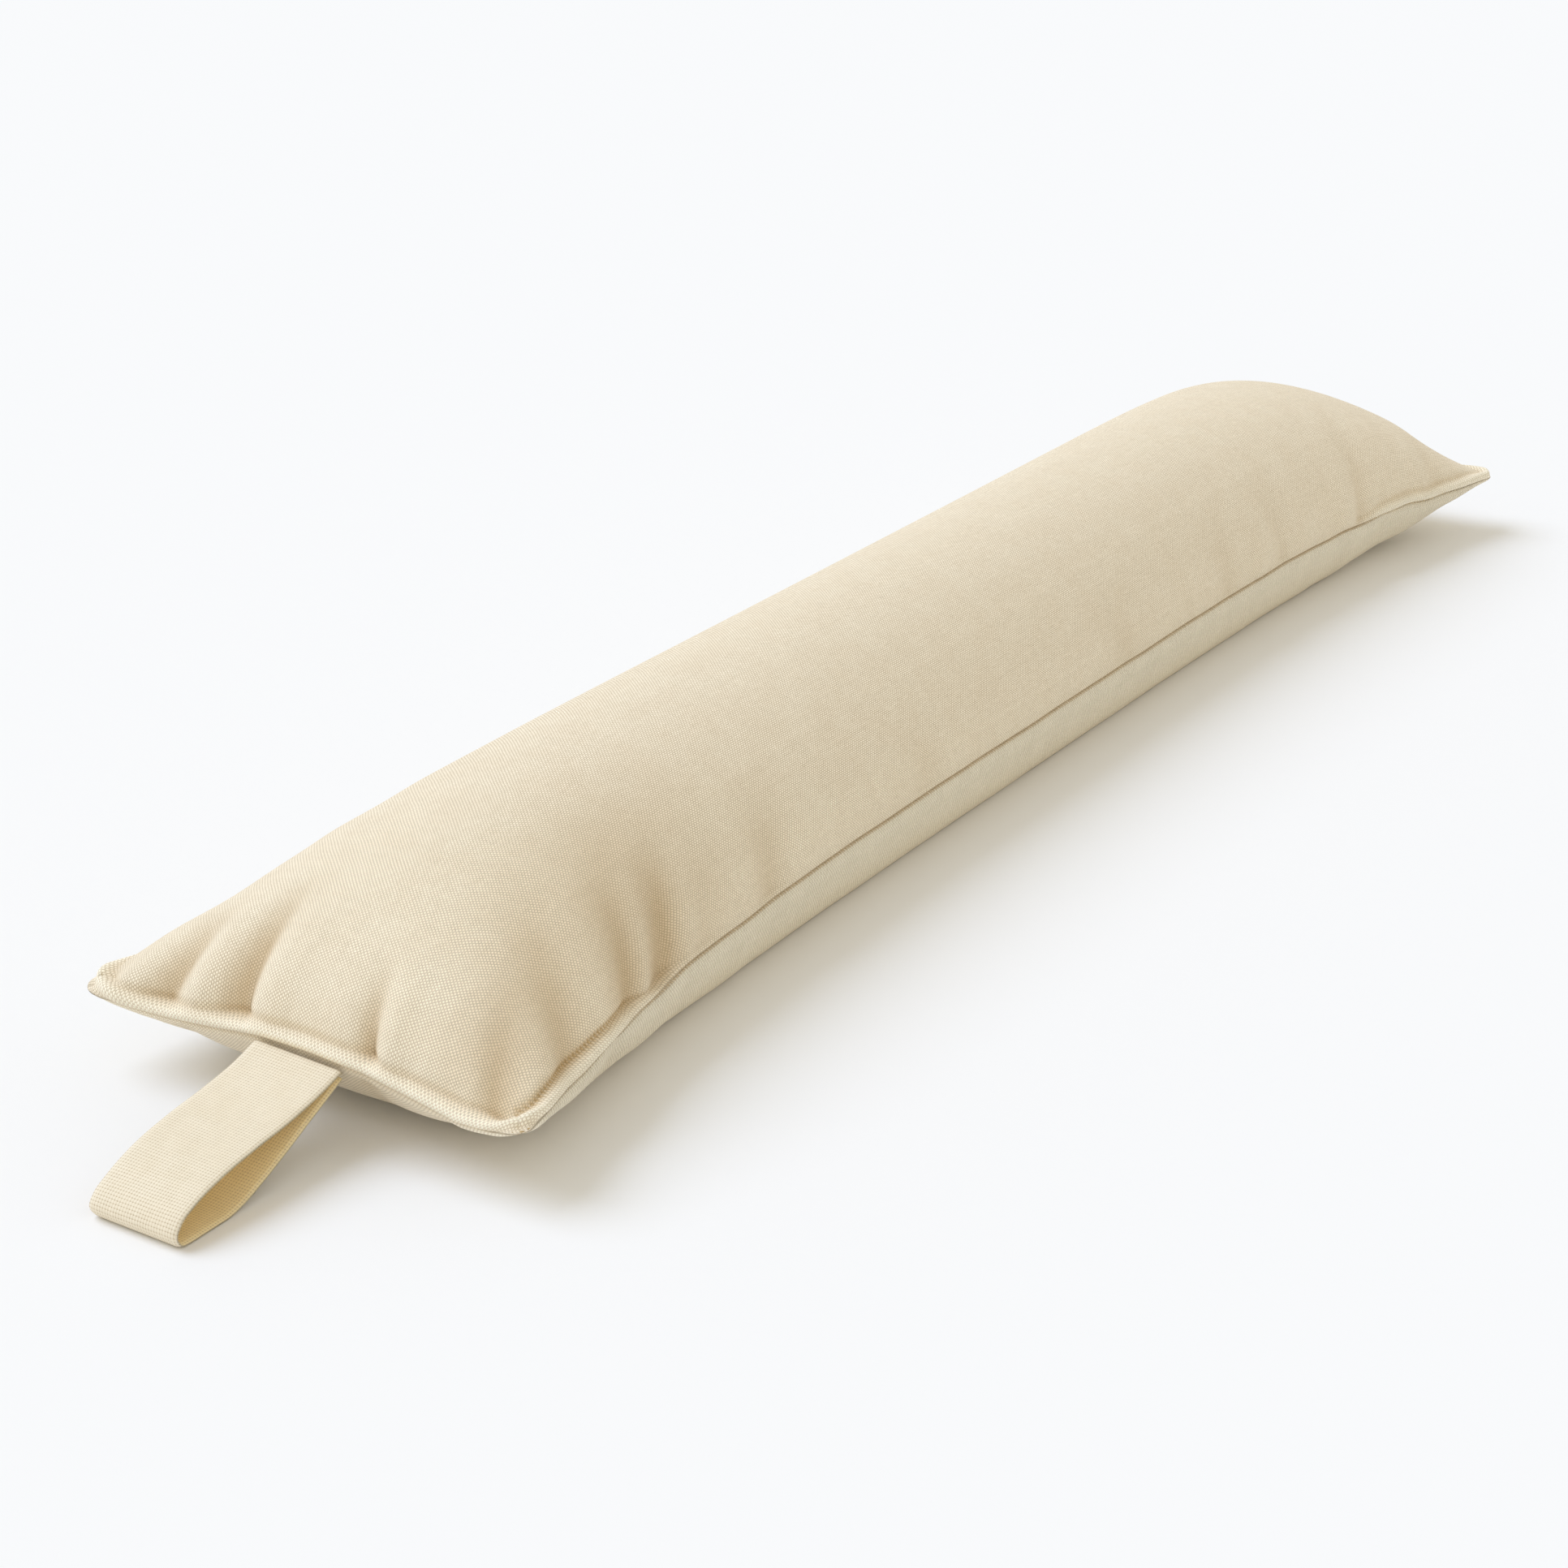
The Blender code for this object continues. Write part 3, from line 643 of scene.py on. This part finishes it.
def makeWeaveGroup():
    f = weaveForm
    tree = newGroup(
        "plainWeave",
        (
            ("Cloth", "NodeSocketVector"), ("Warp Pitch", "NodeSocketFloat"),
            ("Weft Pitch", "NodeSocketFloat"), ("Waver", "NodeSocketFloat"),
            ("Thread Width", "NodeSocketFloat"), ("Warp Rise", "NodeSocketFloat"),
            ("Warp Light Tone", "NodeSocketFloat"),
        ),
        (("Height", "NodeSocketFloat"), ("Pits", "NodeSocketFloat"), ("Tone", "NodeSocketFloat")),
    )
    w = Wiring(tree)
    given = w.node("NodeGroupInput").outputs
    split = w.node("ShaderNodeSeparateXYZ")
    w.feed(split.inputs[0], given["Cloth"])
    # threads wander a little off their lines, and those along the cushion do so all together
    wanderU = w.math("SUBTRACT", w.noise(given["Cloth"], f["wanderScales"][0]), 0.5)
    shifted = w.math("ADD", split.outputs[0], f["wanderOffset"])
    wanderV = w.math("SUBTRACT", w.noise(shifted, f["wanderScales"][1]), 0.5)
    reach = w.math("MULTIPLY", given["Waver"], f["wanderReach"])
    placeA = w.math("MULTIPLY_ADD", wanderU, reach, w.math("DIVIDE", split.outputs[0], given["Warp Pitch"]))
    placeB = w.math("MULTIPLY_ADD", wanderV, reach, w.math("DIVIDE", split.outputs[1], given["Weft Pitch"]))
    heights, tones = [], []
    for own, other, sign in ((placeA, placeB, 1.0), (placeB, placeA, -1.0)):
        number = w.math("FLOOR", own)
        parity = w.math("MULTIPLY", w.math("FRACT", w.math("MULTIPLY", number, 0.5)), 4.0)
        turn = w.math("MULTIPLY", w.math("SUBTRACT", 1.0, parity), sign)
        wave = w.math("MULTIPLY", w.math("SINE", w.math("MULTIPLY", other, math.pi)), f["floatLength"])
        over = w.math("MULTIPLY", turn, w.math("MAXIMUM", w.math("MINIMUM", wave, 1.0), -1.0))
        # width changes a little from thread to thread and along each thread
        slubPlace = [w.math("MULTIPLY", value, step) for value, step in zip((number, other), f["slubPlaces"])]
        slub = w.noise(w.join(*slubPlace), 1.0, 1.0)
        width = w.math("MULTIPLY", given["Thread Width"], w.math("MULTIPLY_ADD", slub, *f["slubWidth"]))
        fromMiddle = w.math("MULTIPLY", w.math("SUBTRACT", w.math("FRACT", own), 0.5), 2.0)
        aside = w.math("DIVIDE", fromMiddle, width)
        lack = w.math("SUBTRACT", 1.0, w.math("MULTIPLY", aside, aside))
        roundness = w.math("SQRT", w.math("MAXIMUM", lack, 0.0))
        rise = w.math("MULTIPLY", given["Warp Rise"], sign)
        bulge = w.math("MULTIPLY", roundness, f["roundHeight"])
        heights.append(w.math("ADD", w.math("MULTIPLY_ADD", over, f["overHeight"], bulge), rise))
        chance = w.white(w.math("ADD", number, f["toneSeed"] * sign))
        slubTone = w.math("MULTIPLY_ADD", slub, *f["toneSlub"])
        tones.append(w.math("MULTIPLY_ADD", chance, f["toneChance"], slubTone))
    height = w.math("SMOOTH_MAX", heights[0], heights[1], f["meeting"])
    # warp and weft crowns differ in tone: painted light, as the light catches the two sets of threads
    # differently
    onTop = w.math("GREATER_THAN", heights[0], heights[1])
    share = w.math("MULTIPLY", w.math("SUBTRACT", onTop, 0.5), given["Warp Light Tone"])
    tone = w.math("ADD", share, w.blend(onTop, tones[1], tones[0], "FLOAT"))
    out = w.node("NodeGroupOutput").inputs
    w.feed(out["Height"], height)
    w.feed(out["Pits"], w.ramp(height, *f["pits"], 1.0, 0.0))
    w.feed(out["Tone"], tone)
    return tree


# What the two cloths share: shares of a tint, of the painted shade and of the painted light, scales of its
# unevenness, and the shader's own values
clothTints = {
    "patchScale": 60.0, "patchDetail": (3.0, 0.6), "patchEdges": (0.32, 0.68), "patchShare": 0.35,
    "fleckScale": 2600.0, "fleck": (0.16, 0.92),
    "paintedShade": 0.8, "ribGapShade": 0.28, "pale": 0.75, "dashes": (0.45, 0.50),
    "paleOverPits": 0.5, "ribsOverPits": 0.7, "ribRise": 0.34,
    "greenPower": 1.08, "bluePower": 1.25, "specular": 0.2, "sheenRoughness": 0.5,
}

# Finishes of the two cloths, with the colours of their painted shade and painted light: colours are linear
canvasLook = {
    "warpPitch": 0.00078, "weftPitch": 0.00082, "waver": 0.16, "threadWidth": 0.95,
    "crown": (0.935, 0.835, 0.655), "pitShade": (0.48, 0.365, 0.215), "warm": (0.88, 0.755, 0.57),
    # the colours of the painted light on the ridge, of the painted shade in the seam's groove and of the
    # painted shade in the folds
    "pale": (1.0, 0.925, 0.745), "grooveShade": (0.54, 0.36, 0.155), "paintedShade": (0.60, 0.44, 0.25),
    "ribPitch": 0.0024, "ribHeight": 3.6, "ribGapShade": (0.66, 0.51, 0.30),
    "tones": ("paintedLightShare", "grooveShadeShare", "paintedShadeShare", "ribLean"), "warpLightTone": -0.9,
    "bumpDepth": 0.00019, "toneSpread": 0.16, "warpRise": -0.11, "roughness": 0.93, "sheen": 0.05,
}
webbingLook = {
    "warpPitch": 0.00124, "weftPitch": 0.00124, "waver": 0.05, "threadWidth": 1.0,
    "crown": (0.93, 0.84, 0.67), "pitShade": (0.55, 0.42, 0.24), "warm": (0.88, 0.77, 0.58),
    # the warm colour of the painted shade on the inner face
    "paintedShade": (1.0, 0.82, 0.46), "tones": ("paintedShadeShare",), "warpLightTone": -0.08,
    "bumpDepth": 0.00026, "toneSpread": 0.06, "warpRise": 0.02, "roughness": 0.92, "sheen": 0.05,
}
threadLook = {
    "light": (0.70, 0.53, 0.29), "dark": (0.42, 0.27, 0.11), "roughness": 0.85,
    "tintScale": 900.0, "tintEdges": (0.35, 0.65),
}


def clothMaterial(name, look, weave):
    t = clothTints
    material = bpy.data.materials.new(name)
    material.use_nodes = True
    w = Wiring(material.node_tree)
    shader = material.node_tree.nodes["Principled BSDF"]
    cloth = w.node("ShaderNodeUVMap", uv_map="clothCoordinates").outputs[0]
    threads = w.node("ShaderNodeGroup", node_tree=weave)
    w.feed(threads.inputs["Cloth"], cloth)
    for socket, value in (
        ("Warp Pitch", "warpPitch"), ("Weft Pitch", "weftPitch"), ("Waver", "waver"),
        ("Thread Width", "threadWidth"), ("Warp Light Tone", "warpLightTone"),
    ):
        threads.inputs[socket].default_value = look[value]
    tones = {
        tone: w.node("ShaderNodeAttribute", attribute_name=tone).outputs["Fac"]
        for tone in look["tones"]
    }
    lean = tones.get("ribLean")
    rise = w.math("MULTIPLY_ADD", lean, t["ribRise"], look["warpRise"]) if lean else look["warpRise"]
    w.feed(threads.inputs["Warp Rise"], rise)
    patches = w.ramp(w.noise(cloth, t["patchScale"], *t["patchDetail"]), *t["patchEdges"])
    body = w.blend(w.math("MULTIPLY", patches, t["patchShare"]), (*look["crown"], 1), (*look["warm"], 1))
    pits = threads.outputs["Pits"]
    # painted shade, darker and warmer, in the troughs of folds and on the inner face of the loop
    body = w.blend(w.math("MULTIPLY", tones["paintedShadeShare"], t["paintedShade"]), body, (*look["paintedShade"], 1))
    height = threads.outputs["Height"]
    if lean:
        # ribs square to the side seams, where the cloth is pulled over them
        place = w.node("ShaderNodeSeparateXYZ")
        w.feed(place.inputs[0], cloth)
        turn = w.math("MULTIPLY", place.outputs[0], 2 * math.pi / look["ribPitch"])
        rib = w.math("MULTIPLY_ADD", w.math("SINE", turn), 0.5, 0.5)
        gap = w.math("SUBTRACT", 1.0, rib)
        drawn = w.math("MAXIMUM", lean, 0.0)
        height = w.math("MULTIPLY_ADD", w.math("MULTIPLY", rib, drawn), look["ribHeight"], height)
        # painted shade in the gaps between the ribs
        gapShare = w.math("MULTIPLY", w.math("MULTIPLY", gap, drawn), t["ribGapShade"])
        body = w.blend(gapShare, body, (*look["ribGapShade"], 1))
        # painted light on the ridge and on the lower panel near the sides, where the pits are fainter
        body = w.blend(w.math("MULTIPLY", tones["paintedLightShare"], t["pale"]), body, (*look["pale"], 1))
        # painted shade in the crease and the seam's groove, broken into dashes by the ribs
        dashes = w.math("MULTIPLY", tones["grooveShadeShare"], w.math("MULTIPLY_ADD", gap, *t["dashes"]))
        body = w.blend(dashes, body, (*look["grooveShade"], 1))
        pits = w.math("MULTIPLY", pits, w.math("MULTIPLY_ADD", tones["paintedLightShare"], -t["paleOverPits"], 1.0))
        pits = w.math("MULTIPLY", pits, w.math("MULTIPLY_ADD", drawn, -t["ribsOverPits"], 1.0))
    # painted shade in the pits between the threads
    body = w.blend(pits, body, (*look["pitShade"], 1))
    spread = w.math("MULTIPLY_ADD", threads.outputs["Tone"], 2 * look["toneSpread"], 1 - look["toneSpread"])
    fleck = w.noise(cloth, t["fleckScale"], 1.0)
    spread = w.math("MULTIPLY", spread, w.math("MULTIPLY_ADD", fleck, *t["fleck"]))
    # darker threads are warmer
    tint = w.join(spread, w.math("POWER", spread, t["greenPower"]), w.math("POWER", spread, t["bluePower"]))
    colour = w.blend(1.0, body, tint, "RGBA", "MULTIPLY")
    w.feed(shader.inputs["Base Color"], colour)
    shader.inputs["Roughness"].default_value = look["roughness"]
    shader.inputs["Specular IOR Level"].default_value = t["specular"]
    shader.inputs["Sheen Weight"].default_value = look["sheen"]
    shader.inputs["Sheen Roughness"].default_value = t["sheenRoughness"]
    bump = w.node("ShaderNodeBump")
    bump.inputs["Strength"].default_value = 1.0
    bump.inputs["Distance"].default_value = look["bumpDepth"]
    w.feed(bump.inputs["Height"], height)
    w.feed(shader.inputs["Normal"], bump.outputs[0])
    return material


def threadMaterial(look):
    material = bpy.data.materials.new("sewing_thread")
    material.use_nodes = True
    w = Wiring(material.node_tree)
    shader = material.node_tree.nodes["Principled BSDF"]
    place = w.node("ShaderNodeTexCoord").outputs["Object"]
    share = w.ramp(w.noise(place, look["tintScale"], 2.0), *look["tintEdges"])
    w.feed(shader.inputs["Base Color"], w.blend(share, (*look["dark"], 1), (*look["light"], 1)))
    shader.inputs["Roughness"].default_value = look["roughness"]
    return material


# Stitches that show in the seam's groove, in millimetres and degrees
seamStitches = {
    "spacing": 3.0, "length": 2.3, "radius": 0.42, "slant": 26.0, "slantSpread": (0.7, 1.3), "seed": 7,
    "segments": 8, "rings": 6,
    "out": 0.15, "inAtEnds": 0.8, "endsFrom": (390, 405),    # out of the groove, and into the ends' seams
    "bareAtEars": 15,
}


def makeStitchTree(material, values):
    tree = bpy.data.node_groups.new("stitchesAlongSeam", "GeometryNodeTree")
    tree.interface.new_socket(name="Geometry", in_out="INPUT", socket_type="NodeSocketGeometry")
    for name, value in values.items():
        kind = "NodeSocketInt" if name == "Seed" else "NodeSocketFloat"
        tree.interface.new_socket(name=name, in_out="INPUT", socket_type=kind).default_value = value
    tree.interface.new_socket(name="Geometry", in_out="OUTPUT", socket_type="NodeSocketGeometry")
    w = Wiring(tree)
    given = w.node("NodeGroupInput").outputs
    curve = w.node("GeometryNodeMeshToCurve")
    w.feed(curve.inputs["Mesh"], given["Geometry"])
    points = w.node("GeometryNodeResampleCurve", mode="LENGTH")
    w.feed(points.inputs["Curve"], curve.outputs[0])
    w.feed(points.inputs["Length"], given["Spacing"])
    stitch = w.node("GeometryNodeMeshUVSphere")
    stitch.inputs["Segments"].default_value = seamStitches["segments"]
    stitch.inputs["Rings"].default_value = seamStitches["rings"]
    stitch.inputs["Radius"].default_value = 1.0
    size = w.node("ShaderNodeCombineXYZ")
    w.feed(size.inputs[0], given["Radius"])
    w.feed(size.inputs[1], given["Radius"])
    w.feed(size.inputs[2], w.math("MULTIPLY", given["Length"], 0.5))
    form = w.node("GeometryNodeTransform")
    w.feed(form.inputs["Geometry"], stitch.outputs["Mesh"])
    w.feed(form.inputs["Scale"], size.outputs[0])
    tangent = w.node("GeometryNodeInputTangent")
    aim = w.node("FunctionNodeAlignRotationToVector", axis="Z")
    w.feed(aim.inputs["Vector"], tangent.outputs[0])
    flat = w.node("FunctionNodeAlignRotationToVector", axis="X", pivot_axis="Z")
    w.feed(flat.inputs["Rotation"], aim.outputs[0])
    flat.inputs["Vector"].default_value = (0, 0, 1)
    vary = w.node("FunctionNodeRandomValue", data_type="FLOAT")
    vary.inputs[2].default_value, vary.inputs[3].default_value = seamStitches["slantSpread"]
    w.feed(vary.inputs["Seed"], given["Seed"])
    slant = w.node("FunctionNodeRotateRotation", rotation_space="LOCAL")
    w.feed(slant.inputs["Rotation"], flat.outputs[0])
    turn = w.node("ShaderNodeCombineXYZ")
    w.feed(turn.inputs[1], w.math("MULTIPLY", given["Slant"], vary.outputs[1]))
    toRotation = w.node("FunctionNodeEulerToRotation")
    w.feed(toRotation.inputs[0], turn.outputs[0])
    w.feed(slant.inputs["Rotate By"], toRotation.outputs[0])
    placed = w.node("GeometryNodeInstanceOnPoints")
    w.feed(placed.inputs["Points"], points.outputs[0])
    w.feed(placed.inputs["Instance"], form.outputs[0])
    w.feed(placed.inputs["Rotation"], slant.outputs[0])
    real = w.node("GeometryNodeRealizeInstances")
    w.feed(real.inputs[0], placed.outputs[0])
    finish = w.node("GeometryNodeSetMaterial")
    w.feed(finish.inputs["Geometry"], real.outputs[0])
    finish.inputs["Material"].default_value = material
    w.feed(w.node("NodeGroupOutput").inputs[0], finish.outputs[0])
    return tree


def seamLoop():
    # The closed seam line, a little outwards of the groove's bottom along the sides
    s = seamStitches
    along = rowShares(cushion["panelLength"]) * 2 - 1
    across = rowShares(cushion["panelWidth"]) * 2 - 1
    lines = [
        seamLine(along, -np.ones(len(along)))[:-1],
        seamLine(np.ones(len(across)), across)[:-1],
        seamLine(along, np.ones(len(along)))[::-1][:-1],
        seamLine(-np.ones(len(across)), across)[::-1][:-1],
    ]
    loop = drawOut(np.concatenate(lines))
    tangent = np.roll(loop, -1, axis=0) - np.roll(loop, 1, axis=0)
    outward = np.stack([tangent[:, 1], -tangent[:, 0], np.zeros(len(loop))], axis=1)
    outward /= np.maximum(np.linalg.norm(outward, axis=1, keepdims=True), tiny)
    atEnds = smoothShare(np.abs(loop[:, :1]), *s["endsFrom"])
    return (loop + outward * (s["out"] * (1 - atEnds) - s["inAtEnds"] * atEnds)) * mm


def makeStitches(material):
    s = seamStitches
    loop = seamLoop()
    count = len(loop)
    # none at the ears that stick out, where the cover is too thin to hide them
    bare = [
        min(math.hypot(x / mm - earX, y / mm - earY) for (earX, earY), _, _ in earPulls) < s["bareAtEars"]
        for x, y, _ in loop.tolist()
    ]
    edges = [(i, (i + 1) % count) for i in range(count) if not (bare[i] or bare[(i + 1) % count])]
    mesh = bpy.data.meshes.new("seam_path")
    mesh.from_pydata(loop.tolist(), edges, [])
    path = newObject("seam_path", mesh)
    values = {
        "Spacing": s["spacing"] * mm, "Length": s["length"] * mm, "Radius": s["radius"] * mm,
        "Slant": math.radians(s["slant"]), "Seed": s["seed"],
    }
    tree = makeStitchTree(material, values)
    modifier = path.modifiers.new("stitches", "NODES")
    modifier.node_group = tree
    for item in tree.interface.items_tree:
        if item.in_out == "INPUT" and item.name in values:
            modifier[item.identifier] = values[item.name]
    bpy.context.view_layer.update()
    graph = bpy.context.evaluated_depsgraph_get()
    plain = bpy.data.meshes.new_from_object(path.evaluated_get(graph))
    plain.shade_smooth()
    bpy.data.objects.remove(path, do_unlink=True)
    return newObject("seam_stitches", plain)


# Studio: a pale floor, one large soft light from the upper left behind, and an even surround
studio = {
    "floorSize": 300.0, "floorColour": (0.93, 0.93, 0.93), "floorRoughness": 0.9,
    "keyStrength": 1.4, "keyAngle": 44.0, "keyFrom": (-0.16, 0.60, 0.78), "keyColour": (0.90, 1.02, 1.27),
    "surround": 0.705, "surroundColour": (1.0, 0.957, 0.855),
}


def makeStudio():
    half = studio["floorSize"] / 2
    mesh = bpy.data.meshes.new("floor")
    corners = [(-half, -half, 0), (half, -half, 0), (half, half, 0), (-half, half, 0)]
    mesh.from_pydata(corners, [], [(0, 1, 2, 3)])
    floor = newObject("floor", mesh)
    paint = bpy.data.materials.new("floor")
    paint.use_nodes = True
    shader = paint.node_tree.nodes["Principled BSDF"]
    shader.inputs["Roughness"].default_value = studio["floorRoughness"]
    shader.inputs["Specular IOR Level"].default_value = 0.0
    shader.inputs["Base Color"].default_value = (*studio["floorColour"], 1)
    mesh.materials.append(paint)
    key = bpy.data.lights.new("key", "SUN")
    key.energy = studio["keyStrength"]
    key.angle = math.radians(studio["keyAngle"])
    key.color = studio["keyColour"]
    lamp = newObject("key", key)
    lamp.rotation_euler = Vector(studio["keyFrom"]).to_track_quat("Z", "Y").to_euler()
    world = bpy.data.worlds.new("surround")
    world.use_nodes = True
    surround = world.node_tree.nodes["Background"]
    surround.inputs[0].default_value = (*studio["surroundColour"], 1)
    surround.inputs[1].default_value = studio["surround"]
    bpy.context.scene.world = world
    bpy.context.scene.view_settings.view_transform = "Standard"


makeCamera(cameraSettings)
print("camera placed")

weave = makeWeaveGroup()
canvas = clothMaterial("natural_canvas", canvasLook, weave)
webbingCloth = clothMaterial("cotton_webbing", webbingLook, weave)
thread = threadMaterial(threadLook)
print("materials made")

cover = makeCushion()
cover.data.materials.append(canvas)
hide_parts("cushion")
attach(cover, "root")
print("cushion cover made:", len(cover.data.polygons), "faces")

stitches = makeStitches(thread)
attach(stitches, "root")
print("stitches made:", len(stitches.data.polygons), "faces")

strip = makeWebbing()
strip.data.materials.append(webbingCloth)
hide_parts("webbing_loop")
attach(strip, "root")
print("webbing loop made:", len(strip.data.polygons), "faces")

makeStudio()
print("studio made")
